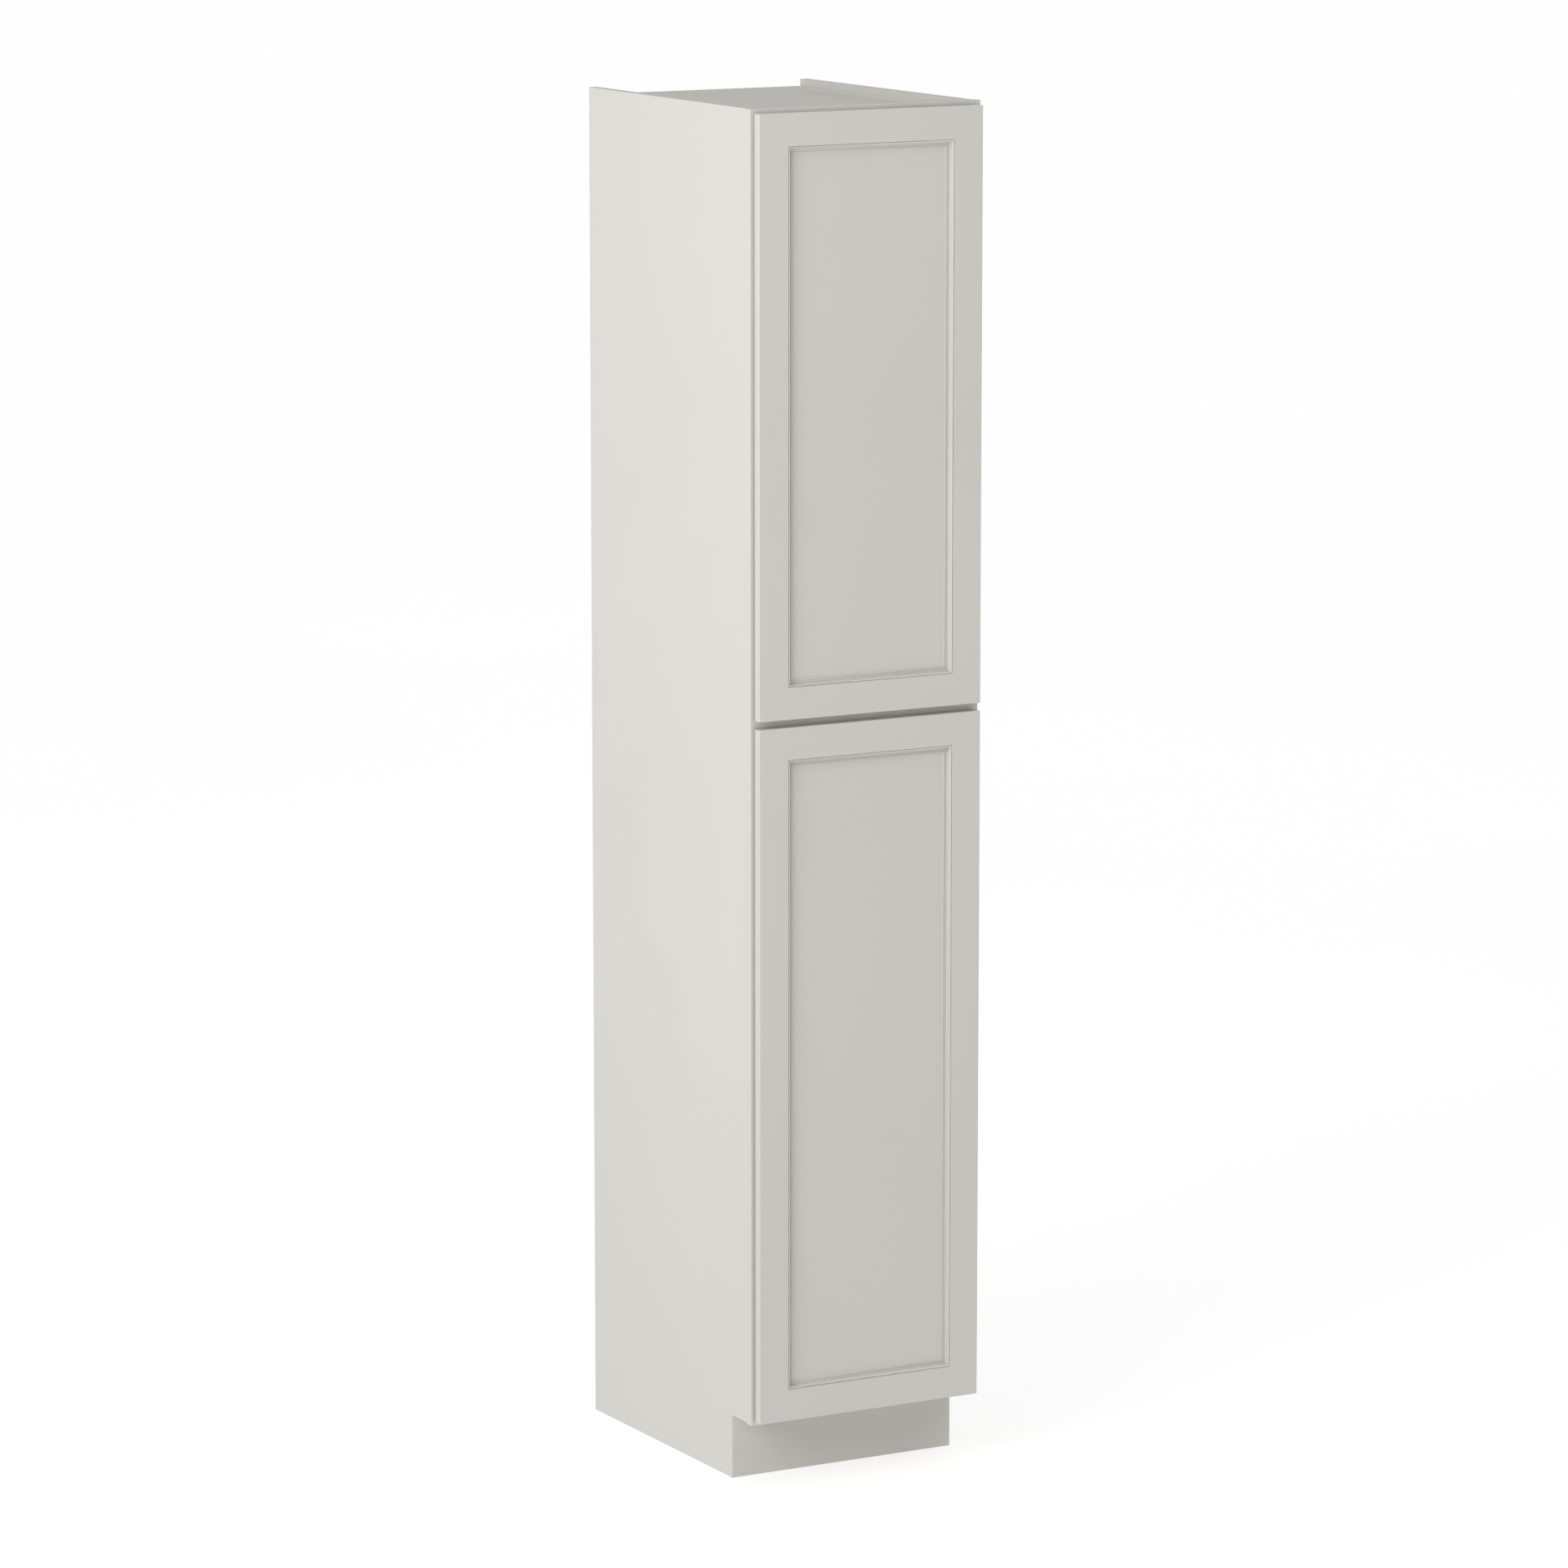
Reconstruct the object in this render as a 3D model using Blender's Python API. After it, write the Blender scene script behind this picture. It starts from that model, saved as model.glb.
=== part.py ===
"""A tall framed pantry cabinet with two recessed-panel doors, one above the other.

The cabinet stands on its two side panels and its toe kick. A face frame covers the front of the box and
stands a little proud of the sides. Both doors overlay the frame and turn on concealed cup hinges along
their right edges. +X is right as seen from the front, -Y is the front, +Z is up, and the origin is in the
middle of the footprint on the floor.
"""

import math

import bmesh
import bpy
from mathutils import Matrix, Vector

INCH = 0.0254
GAP = 0.0003  # air between pieces that touch

# The cabinet's box
WIDTH = 18.0 * INCH
HEIGHT = 96.0 * INCH
DEPTH = 24.0 * INCH  # face frame's front to the rear
SIDE_THICK = 0.625 * INCH
PANEL_THICK = 0.625 * INCH
TOP_THICK = 0.5 * INCH
TOP_DROP = 0.5 * INCH  # top panel's upper face below the tops of the sides
FIXED_SHELF_THICK = 0.75 * INCH
BACK_THICK = 0.25 * INCH
HANGING_RAIL_THICK = 0.5 * INCH
HANGING_RAIL_WIDTH = 3.5 * INCH
DADO = 0.005  # how far panels are let into the sides

# Face frame
FRAME_THICK = 0.75 * INCH
FRAME_WIDTH = 1.5 * INCH
OVERHANG = 0.1875 * INCH  # how far the frame passes the sides
MIDDLE_RAIL_TOP = 54.75 * INCH
TENON_LENGTH = 0.016
TENON_THICK = 0.0064
TENON_SHOULDER = 0.006
EDGE_EASE = 0.0008

# Toe kick
TOE_HEIGHT = 4.5 * INCH
TOE_SETBACK = 3.125 * INCH
TOE_SKIN = 0.0048
TOE_BOARD = 0.5 * INCH
BLOCK_LEG = 0.045
BLOCK_RISE = 0.090

# Doors
DOOR_THICK = 0.018
DOOR_GAP = 0.0025  # closed door's back to the face frame
DOOR_REVEAL = 0.25 * INCH
UPPER_DOOR = (54.25 * INCH, 95.70 * INCH)
LOWER_DOOR = (4.75 * INCH, 53.70 * INCH)
MEMBER_WIDTH = 2.25 * INCH  # door stiles and rails
PANEL_RECESS = 0.375 * INCH
DOOR_PANEL_THICK = 0.0058
GROOVE_DEPTH = 0.009
GROOVE_STOP = 0.010
BEAD_WIDTH = 0.52 * INCH

# Adjustable shelves, by the height of their upper faces
SHELF_THICK = 0.625 * INCH
UPPER_SHELVES = (68.0 * INCH, 81.5 * INCH)
LOWER_SHELVES = (18.0 * INCH, 30.0 * INCH, 42.0 * INCH)
SHELF_SIDE_GAP = 0.0015
SHELF_FRONT_GAP = 0.006
SHELF_BACK_GAP = 0.003
PIN_DROP = 0.0025  # pin hole's centre below the shelf it carries
PIN_HOLE_RADIUS = 0.0025
PIN_HOLE_DEPTH = 0.009
PIN_HOLE_PITCH = 0.032
PIN_HOLE_ROWS = 3
PIN_INSET = 0.060  # pin columns from the front and rear ends of a shelf

# Cup hinges. Inward is measured from the frame's right edge, forward from the frame's front.
HINGE_INWARD = 0.0130
HINGE_FORWARD = 0.0120
UPPER_HINGES = (58.25 * INCH, 75.0 * INCH, 91.75 * INCH)
LOWER_HINGES = (8.75 * INCH, 29.25 * INCH, 49.75 * INCH)
CUP_INWARD = 0.02685
CUP_RADIUS = 0.0175
CUP_DEPTH = 0.013
CUP_WALL = 0.0006
FLANGE = (0.0104, 0.0390)  # inward limits of the cup's flange
FLANGE_HALF = 0.030
FLANGE_THICK = 0.001
CUP_SCREW_INWARD = 0.0335
CUP_SCREW_HALF = 0.024
CUP_SCREW_RADIUS = 0.0017
ARM_HALF = 0.0045
ARM_THICK = 0.0016
ARM_ROUTE = ((0.0130, 0.0120), (0.0235, 0.0136), (0.0355, 0.0127), (0.0392, 0.0080), (0.0392, -0.0180))
BARREL_RADIUS = 0.0020
HINGE_PIN_RADIUS = 0.0010
HINGE_PIN_HALF = 0.0072
PLATE_HALF = 0.0150
PLATE_REACH = (-0.0180, -0.0020)  # forward limits of the plate on the stile
PLATE_SCREW_HALF = 0.0105
PLATE_SCREW_RADIUS = 0.0018

# Places that follow from the sizes above
HALF = WIDTH / 2
FRAME_FRONT = (DOOR_GAP + DOOR_THICK - DEPTH) / 2
FRAME_BACK = FRAME_FRONT + FRAME_THICK
REAR = FRAME_FRONT + DEPTH
SIDE_OUT = HALF - OVERHANG
SIDE_IN = SIDE_OUT - SIDE_THICK
DOOR_BACK = FRAME_FRONT - DOOR_GAP
DOOR_FRONT = DOOR_BACK - DOOR_THICK
DOOR_HALF = HALF - DOOR_REVEAL
TOP_FACE = HEIGHT - TOP_DROP
BOTTOM_FACE = TOE_HEIGHT + FRAME_WIDTH
TOE_FRONT = FRAME_FRONT + TOE_SETBACK
NOTCH_BACK = TOE_FRONT + TOE_SKIN + GAP
BACK_REAR = REAR - HANGING_RAIL_THICK - GAP
BACK_FRONT = BACK_REAR - BACK_THICK
OPENING_HALF = HALF - FRAME_WIDTH
SHELF_FRONT = FRAME_BACK + SHELF_FRONT_GAP
SHELF_BACK = BACK_FRONT - SHELF_BACK_GAP
PIN_COLUMNS = (SHELF_FRONT + PIN_INSET, SHELF_BACK - PIN_INSET)
HINGE_LINE = Vector((HALF - HINGE_INWARD, FRAME_FRONT - HINGE_FORWARD, 0.0))


# ---------------------------------------------------------------- materials


def finish(name, colour, roughness, metallic=0.0):
    made = bpy.data.materials.new(name)
    made.use_nodes = True
    shader = made.node_tree.nodes["Principled BSDF"]
    shader.inputs["Base Color"].default_value = (*colour, 1.0)
    shader.inputs["Roughness"].default_value = roughness
    shader.inputs["Metallic"].default_value = metallic
    return made


def finishes():
    return {
        "paint": finish("painted_wood", (0.60, 0.59, 0.56), 0.42),
        "maple": finish("maple_interior", (0.72, 0.55, 0.36), 0.45),
        "raw": finish("bare_wood", (0.62, 0.46, 0.29), 0.70),
        "steel": finish("nickel_plated_steel", (0.63, 0.62, 0.60), 0.28, 1.0),
        "block": finish("nylon_block", (0.80, 0.76, 0.66), 0.50),
    }


# ---------------------------------------------------------------- shapes


def add_box(shape, low, high):
    low, high = Vector(low), Vector(high)
    fitted = Matrix.Translation((low + high) / 2) @ Matrix.Diagonal((*(high - low), 1.0))
    bmesh.ops.create_cube(shape, size=1.0, matrix=fitted)


def add_rod(shape, start, end, radius, sides):
    start, end = Vector(start), Vector(end)
    turn = Vector((0.0, 0.0, 1.0)).rotation_difference(end - start).to_matrix().to_4x4()
    bmesh.ops.create_cone(
        shape,
        cap_ends=True,
        segments=sides,
        radius1=radius,
        radius2=radius,
        depth=(end - start).length,
        matrix=Matrix.Translation((start + end) / 2) @ turn,
    )


def add_prism(shape, outline, along):
    """The closed outline, a list of points in one plane, pulled out by the vector along."""
    face = shape.faces.new([shape.verts.new(point) for point in outline])
    pulled = bmesh.ops.extrude_face_region(shape, geom=[face])["geom"]
    moved = [item for item in pulled if isinstance(item, bmesh.types.BMVert)]
    bmesh.ops.translate(shape, verts=moved, vec=along)


def place(name, shape, material, holder=None):
    """One object from a shape made in world places, with its origin on its holder or in its middle."""
    bmesh.ops.recalc_face_normals(shape, faces=shape.faces)
    points = [vert.co for vert in shape.verts]
    low = Vector([min(point[axis] for point in points) for axis in range(3)])
    high = Vector([max(point[axis] for point in points) for axis in range(3)])
    origin = holder.location.copy() if holder else (low + high) / 2
    bmesh.ops.translate(shape, verts=shape.verts, vec=-origin)
    mesh = bpy.data.meshes.new(name)
    shape.to_mesh(mesh)
    shape.free()
    if material:
        mesh.materials.append(material)
    piece = bpy.data.objects.new(name, mesh)
    bpy.context.scene.collection.objects.link(piece)
    if holder:
        piece.parent = holder
    else:
        piece.location = origin
    return piece


def board(name, low, high, material, holder=None, ease=0.0):
    shape = bmesh.new()
    add_box(shape, low, high)
    piece = place(name, shape, material, holder)
    if ease:
        edge = piece.modifiers.new("eased_edges", "BEVEL")
        edge.width = ease
        edge.segments = 1
    return piece


def tool(name, shape, holder=None):
    """A shape that only cuts or joins other pieces."""
    made = place(name, shape, None, holder)
    made.hide_render = True
    made.display_type = "WIRE"
    return made


def combine(piece, other, operation="DIFFERENCE"):
    step = piece.modifiers.new(operation.lower(), "BOOLEAN")
    step.operation = operation
    step.solver = "EXACT"
    step.object = other


def round_shading(piece):
    piece.data.shade_smooth()
    piece.data.set_sharp_from_angle(angle=math.radians(40))


# ---------------------------------------------------------------- box


def side_panel(name, side, material):
    """side is -1 for the left panel and 1 for the right one."""
    inner, outer = side * SIDE_IN, side * SIDE_OUT
    front = FRAME_BACK + GAP
    outline = (
        (front, TOE_HEIGHT),
        (NOTCH_BACK, TOE_HEIGHT),
        (NOTCH_BACK, 0.0),
        (REAR, 0.0),
        (REAR, HEIGHT),
        (front, HEIGHT),
    )
    shape = bmesh.new()
    add_prism(shape, [(inner, y, z) for y, z in outline], (outer - inner, 0.0, 0.0))
    piece = place(name, shape, material)

    past = 0.004
    depths = sorted((inner - side * past, inner + side * DADO))
    shelves = bmesh.new()
    for high, thick, rear in (
        (TOP_FACE, TOP_THICK, REAR + past),
        (MIDDLE_RAIL_TOP, FIXED_SHELF_THICK, BACK_FRONT),
        (BOTTOM_FACE, PANEL_THICK, REAR + past),
    ):
        low_corner = (depths[0], front - past, high - thick - GAP)
        add_box(shelves, low_corner, (depths[1], rear, high + GAP))
    holes = (PIN_HOLE_ROWS - 1) / 2
    for top in LOWER_SHELVES + UPPER_SHELVES:
        for row in range(PIN_HOLE_ROWS):
            height = top - SHELF_THICK - PIN_DROP + (row - holes) * PIN_HOLE_PITCH
            for column in PIN_COLUMNS:
                start = (inner - side * past, column, height)
                end = (inner + side * PIN_HOLE_DEPTH, column, height)
                add_rod(shelves, start, end, PIN_HOLE_RADIUS, 8)
    combine(piece, tool(name + "_dado_and_hole_cutter", shelves))

    groove = bmesh.new()
    low_corner = (depths[0], BACK_FRONT - GAP, BOTTOM_FACE - PANEL_THICK / 2)
    add_box(groove, low_corner, (depths[1], BACK_REAR + GAP, TOP_FACE - TOP_THICK / 2))
    combine(piece, tool(name + "_back_groove_cutter", groove))
    return piece


def make_box(looks):
    side_panel("left_side_panel", -1, looks["paint"])
    side_panel("right_side_panel", 1, looks["paint"])

    let_in = SIDE_IN + DADO - GAP
    between = SIDE_IN - GAP
    front = FRAME_BACK + GAP
    board("top_panel", (-let_in, front, TOP_FACE - TOP_THICK), (let_in, REAR, TOP_FACE), looks["paint"])
    low = (-let_in, front, MIDDLE_RAIL_TOP - FIXED_SHELF_THICK)
    board("middle_shelf", low, (let_in, BACK_FRONT - GAP, MIDDLE_RAIL_TOP), looks["maple"])
    low = (-let_in, front, BOTTOM_FACE - PANEL_THICK)
    board("bottom_panel", low, (let_in, REAR, BOTTOM_FACE), looks["maple"])
    low = (-let_in, BACK_FRONT, BOTTOM_FACE + GAP)
    board("back_panel", low, (let_in, BACK_REAR, TOP_FACE - TOP_THICK - GAP), looks["maple"])

    rail_low = REAR - HANGING_RAIL_THICK
    half_rail = HANGING_RAIL_WIDTH / 2
    rails = {
        "top_hanging_rail": TOP_FACE - TOP_THICK - GAP - half_rail,
        "middle_hanging_rail": MIDDLE_RAIL_TOP - FIXED_SHELF_THICK / 2,
        "bottom_hanging_rail": BOTTOM_FACE + GAP + half_rail,
    }
    for name, middle in rails.items():
        low = (-between, rail_low, middle - half_rail)
        board(name, low, (between, REAR, middle + half_rail), looks["raw"])


def make_toe_kick(looks):
    between = SIDE_IN - GAP
    low = (-SIDE_OUT, TOE_FRONT, 0.0)
    board("toe_kick_skin", low, (SIDE_OUT, TOE_FRONT + TOE_SKIN, TOE_HEIGHT - GAP), looks["paint"])
    rise = BOTTOM_FACE - PANEL_THICK - GAP
    low = (-between, NOTCH_BACK, 0.0)
    board("toe_kick_board", low, (between, NOTCH_BACK + TOE_BOARD, rise), looks["raw"])

    corner = NOTCH_BACK + TOE_BOARD + GAP
    for name, side in (("left_corner_block", -1), ("right_corner_block", 1)):
        wall = side * between
        base = rise - BLOCK_RISE
        outline = (
            (wall, corner, base),
            (wall - side * BLOCK_LEG, corner, base),
            (wall, corner + BLOCK_LEG, base),
        )
        shape = bmesh.new()
        add_prism(shape, outline, (0.0, 0.0, BLOCK_RISE))
        place(name, shape, looks["block"])


# ---------------------------------------------------------------- face frame


def make_face_frame(looks):
    """Two stiles, and three rails whose tenons sit in mortises in the stiles."""
    rails = {
        "frame_top_rail": HEIGHT - FRAME_WIDTH,
        "frame_middle_rail": MIDDLE_RAIL_TOP - FRAME_WIDTH,
        "frame_bottom_rail": TOE_HEIGHT,
    }
    middle = (FRAME_FRONT + FRAME_BACK) / 2
    half_tenon = TENON_THICK / 2
    slack = 0.0010
    past = 0.004

    mortises = bmesh.new()
    for base in rails.values():
        for side in (-1, 1):
            spread = sorted((side * (OPENING_HALF - past), side * (OPENING_HALF + TENON_LENGTH + slack)))
            low = (spread[0], middle - half_tenon - GAP, base + TENON_SHOULDER - GAP)
            high = (spread[1], middle + half_tenon + GAP, base + FRAME_WIDTH - TENON_SHOULDER + GAP)
            add_box(mortises, low, high)
    cutter = tool("frame_mortise_cutter", mortises)
    for name, side in (("frame_left_stile", -1), ("frame_right_stile", 1)):
        limits = sorted((side * OPENING_HALF, side * HALF))
        low = (limits[0], FRAME_FRONT, TOE_HEIGHT)
        high = (limits[1], FRAME_BACK, HEIGHT)
        combine(board(name, low, high, looks["paint"], ease=EDGE_EASE), cutter)

    for name, base in rails.items():
        low = (GAP - OPENING_HALF, FRAME_FRONT, base)
        high = (OPENING_HALF - GAP, FRAME_BACK, base + FRAME_WIDTH)
        rail = board(name, low, high, looks["paint"], ease=EDGE_EASE)
        tenons = bmesh.new()
        for side in (-1, 1):
            spread = sorted((side * (OPENING_HALF - past), side * (OPENING_HALF + TENON_LENGTH)))
            low = (spread[0], middle - half_tenon, base + TENON_SHOULDER)
            add_box(tenons, low, (spread[1], middle + half_tenon, base + FRAME_WIDTH - TENON_SHOULDER))
        combine(rail, tool(name + "_tenons", tenons), "UNION")


# ---------------------------------------------------------------- shelves


def make_shelves(looks):
    half = SIDE_IN - SHELF_SIDE_GAP
    for bay, tops in (("upper", UPPER_SHELVES), ("lower", LOWER_SHELVES)):
        for number, top in enumerate(tops, start=1):
            low = (-half, SHELF_FRONT, top - SHELF_THICK)
            board(f"{bay}_shelf_{number}", low, (half, SHELF_BACK, top), looks["maple"], ease=EDGE_EASE)


# ---------------------------------------------------------------- doors


def bead_profile():
    """Inward from the door member's edge and forward from the door panel: a shoulder, a cove, a low fillet."""
    shoulder = [(GAP, 0.0), (GAP, 0.0080), (0.0011, 0.0089), (0.0030, 0.0089)]
    cove_start, cove_end = Vector((0.0034, 0.0086)), Vector((0.0101, 0.0008))
    cove = []
    for angle in range(0, 91, 15):
        turn = math.radians(angle)
        inward = cove_end.x - (cove_end.x - cove_start.x) * math.cos(turn)
        forward = cove_start.y - (cove_start.y - cove_end.y) * math.sin(turn)
        cove.append((inward, forward))
    fillet = [(0.0106, 0.0014), (0.0122, 0.0014), (BEAD_WIDTH, 0.0)]
    return [*shoulder, *cove, *fillet]


def bead_strip(name, sense, low, high, material, holder):
    """A mitred strip along one edge of the door's recess: low and high are the recess's X and Z limits."""
    panel_face = DOOR_FRONT + PANEL_RECESS - GAP
    profile = bead_profile()
    upright = sense in ("left", "right")
    shape = bmesh.new()
    ends = []
    for end in (0, 1):
        ring = []
        for inward, forward in profile:
            mitre = inward + GAP
            if upright:
                x = low[0] + inward if sense == "left" else high[0] - inward
                z = low[1] + mitre if end == 0 else high[1] - mitre
            else:
                z = low[1] + inward if sense == "bottom" else high[1] - inward
                x = low[0] + mitre if end == 0 else high[0] - mitre
            ring.append(shape.verts.new((x, panel_face - forward, z)))
        ends.append(ring)
    for step in range(len(profile)):
        ahead = (step + 1) % len(profile)
        shape.faces.new((ends[0][step], ends[0][ahead], ends[1][ahead], ends[1][step]))
    shape.faces.new(ends[0])
    shape.faces.new(ends[1])
    return place(name, shape, material, holder)


def make_door(door, limits, hinge_heights, looks):
    holder = bpy.data.objects.new(door + "_hinge_line", None)
    bpy.context.scene.collection.objects.link(holder)
    holder.location = (HINGE_LINE.x, HINGE_LINE.y, limits[0])

    low, high = limits
    inner = DOOR_HALF - MEMBER_WIDTH
    recess_low, recess_high = low + MEMBER_WIDTH, high - MEMBER_WIDTH
    panel_front = DOOR_FRONT + PANEL_RECESS
    panel_back = panel_front + DOOR_PANEL_THICK
    past = 0.004

    stile_grooves = bmesh.new()
    for side in (-1, 1):
        spread = sorted((side * (inner - past), side * (inner + GROOVE_DEPTH)))
        corner = (spread[0], panel_front - GAP, low + GROOVE_STOP)
        add_box(stile_grooves, corner, (spread[1], panel_back + GAP, high - GROOVE_STOP))
    stile_cutter = tool(door + "_stile_groove_cutter", stile_grooves, holder)
    bores = tool(door + "_hinge_bore_cutter", hinge_bores(hinge_heights), holder)
    for name, side in (("left_stile", -1), ("right_stile", 1)):
        spread = sorted((side * inner, side * DOOR_HALF))
        corner = (spread[0], DOOR_FRONT, low)
        far = (spread[1], DOOR_BACK, high)
        stile = board(f"{door}_{name}", corner, far, looks["paint"], holder, EDGE_EASE)
        combine(stile, stile_cutter)
        if side == 1:
            combine(stile, bores)

    rail_half = inner - GAP
    for name, outer, edge in (("top_rail", high, recess_high), ("bottom_rail", low, recess_low)):
        lows, highs = sorted((outer, edge))
        corner, far = (-rail_half, DOOR_FRONT, lows), (rail_half, DOOR_BACK, highs)
        rail = board(f"{door}_{name}", corner, far, looks["paint"], holder, EDGE_EASE)
        away = 1 if outer > edge else -1
        tongue_limits = sorted((edge + away * (GROOVE_DEPTH + GAP), outer - away * (GROOVE_STOP + GAP)))
        tongues = bmesh.new()
        for side in (-1, 1):
            reach = inner + GROOVE_DEPTH - GAP
            spread = sorted((side * (rail_half - past), side * reach))
            corner = (spread[0], panel_front, tongue_limits[0])
            add_box(tongues, corner, (spread[1], panel_back, tongue_limits[1]))
        combine(rail, tool(f"{door}_{name}_tongues", tongues, holder), "UNION")
        slot = bmesh.new()
        slot_limits = sorted((edge - away * past, edge + away * GROOVE_DEPTH))
        corner = (-inner - GROOVE_DEPTH - past, panel_front - GAP, slot_limits[0])
        add_box(slot, corner, (inner + GROOVE_DEPTH + past, panel_back + GAP, slot_limits[1]))
        combine(rail, tool(f"{door}_{name}_groove_cutter", slot, holder))

    let_in = GROOVE_DEPTH - 2 * GAP
    corner = (-inner - let_in, panel_front, recess_low - let_in)
    far = (inner + let_in, panel_back, recess_high + let_in)
    board(f"{door}_panel", corner, far, looks["paint"], holder)
    for sense in ("left", "right", "bottom", "top"):
        spans = ((-inner, recess_low), (inner, recess_high))
        bead_strip(f"{door}_{sense}_bead", sense, *spans, looks["paint"], holder)

    for number, height in enumerate(hinge_heights, start=1):
        make_cup(door, number, height, looks, holder)


# ---------------------------------------------------------------- hinges


def spot(inward, forward, height):
    """A place given as the hinges are: inward from the frame's right edge, forward from its front."""
    return Vector((HALF - inward, FRAME_FRONT - forward, height))


def hinge_bores(heights):
    """The cutter for the cups and their screws in a door's hinge stile."""
    shape = bmesh.new()
    deep = DOOR_GAP + CUP_DEPTH + GAP
    screw_deep = 0.0135
    for height in heights:
        add_rod(shape, spot(CUP_INWARD, 0.0, height), spot(CUP_INWARD, deep, height), CUP_RADIUS + GAP, 28)
        for step in (-1, 1):
            level = height + step * CUP_SCREW_HALF
            ends = (spot(CUP_SCREW_INWARD, 0.0, level), spot(CUP_SCREW_INWARD, screw_deep, level))
            add_rod(shape, *ends, CUP_SCREW_RADIUS + GAP, 8)
    return shape


def make_cup(door, number, height, looks, holder):
    """The cup with its flange, and the pin that the arm turns on, held across the cup."""
    flange_back = DOOR_GAP - FLANGE_THICK - GAP
    flange_face = DOOR_GAP - GAP
    cup_end = DOOR_GAP + CUP_DEPTH
    past = 0.004
    flange, body, hollow, pin = bmesh.new(), bmesh.new(), bmesh.new(), bmesh.new()

    corner = spot(FLANGE[1], flange_face, height - FLANGE_HALF)
    add_box(flange, corner, spot(FLANGE[0], flange_back, height + FLANGE_HALF))
    ends = (spot(CUP_INWARD, (flange_back + flange_face) / 2, height), spot(CUP_INWARD, cup_end, height))
    add_rod(body, *ends, CUP_RADIUS, 28)
    ends = (spot(CUP_INWARD, -past, height), spot(CUP_INWARD, cup_end - CUP_WALL, height))
    add_rod(hollow, *ends, CUP_RADIUS - CUP_WALL, 28)
    for step in (-1, 1):
        level = height + step * CUP_SCREW_HALF
        ends = (spot(CUP_SCREW_INWARD, -past, level), spot(CUP_SCREW_INWARD, past, level))
        add_rod(hollow, *ends, CUP_SCREW_RADIUS + GAP, 8)
    cup = place(f"{door}_hinge_cup_{number}", flange, looks["steel"], holder)
    combine(cup, tool(f"{door}_cup_body_{number}", body, holder), "UNION")
    combine(cup, tool(f"{door}_cup_hollow_{number}", hollow, holder))

    ends = [spot(HINGE_INWARD, HINGE_FORWARD, height + step * HINGE_PIN_HALF) for step in (-1, 1)]
    add_rod(pin, *ends, HINGE_PIN_RADIUS, 10)
    round_shading(place(f"{door}_hinge_pin_{number}", pin, looks["steel"], holder))


def strap_outline(height):
    """The arm's route thickened to both sides, at the arm's lower edge."""
    route = [spot(inward, forward, height) for inward, forward in ARM_ROUTE]
    up = Vector((0.0, 0.0, 1.0))
    left, right = [], []
    for number, point in enumerate(route):
        before = (point - route[number - 1]).normalized() if number else None
        after = (route[number + 1] - point).normalized() if number + 1 < len(route) else None
        ahead = ((before or after) + (after or before)).normalized()
        across = up.cross(ahead)
        straight = (after or before).dot(ahead)
        left.append(point + across * ARM_THICK / 2 / straight)
        right.append(point - across * ARM_THICK / 2 / straight)
    return left + right[::-1]


def make_hinge_arms(door, heights, looks):
    """The arms on the frame's right stile: a cranked strap with an eye for the pin and a screwed plate."""
    plate_low, plate_high = FRAME_WIDTH + GAP, FRAME_WIDTH + GAP + ARM_THICK
    plate_middle = sum(PLATE_REACH) / 2
    screw_end = 0.016
    past = 0.003
    for number, height in enumerate(heights, start=1):
        strap, lugs, holes = bmesh.new(), bmesh.new(), bmesh.new()
        add_prism(strap, strap_outline(height - ARM_HALF), (0.0, 0.0, 2 * ARM_HALF))
        ends = [spot(HINGE_INWARD, HINGE_FORWARD, height + step * ARM_HALF) for step in (-1, 1)]
        add_rod(lugs, *ends, BARREL_RADIUS, 16)
        corner = spot(plate_high, PLATE_REACH[1], height - PLATE_HALF)
        add_box(lugs, corner, spot(plate_low, PLATE_REACH[0], height + PLATE_HALF))
        ends = [spot(HINGE_INWARD, HINGE_FORWARD, height + step * 2 * ARM_HALF) for step in (-1, 1)]
        add_rod(holes, *ends, HINGE_PIN_RADIUS + GAP, 12)
        for step in (-1, 1):
            level = height + step * PLATE_SCREW_HALF
            screw_reach = (plate_high + past, FRAME_WIDTH - screw_end)
            ends = [spot(inward, plate_middle, level) for inward in screw_reach]
            add_rod(holes, *ends, PLATE_SCREW_RADIUS + GAP, 8)
        arm = place(f"{door}_hinge_arm_{number}", strap, looks["steel"])
        combine(arm, tool(f"{door}_hinge_arm_lugs_{number}", lugs), "UNION")
        cutter = tool(f"{door}_hinge_arm_hole_cutter_{number}", holes)
        combine(arm, cutter)
        combine(bpy.data.objects["frame_right_stile"], cutter)


# ---------------------------------------------------------------- the whole cabinet


def main():
    for old in list(bpy.data.objects):
        bpy.data.objects.remove(old, do_unlink=True)
    looks = finishes()
    make_box(looks)
    make_toe_kick(looks)
    make_face_frame(looks)
    make_shelves(looks)
    make_hinge_arms("upper_door", UPPER_HINGES, looks)
    make_hinge_arms("lower_door", LOWER_HINGES, looks)
    make_door("upper_door", UPPER_DOOR, UPPER_HINGES, looks)
    make_door("lower_door", LOWER_DOOR, LOWER_HINGES, looks)


main()
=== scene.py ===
"""A tall painted pantry cabinet: the finish of its boards, doors, mouldings and small hardware."""

import math

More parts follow.
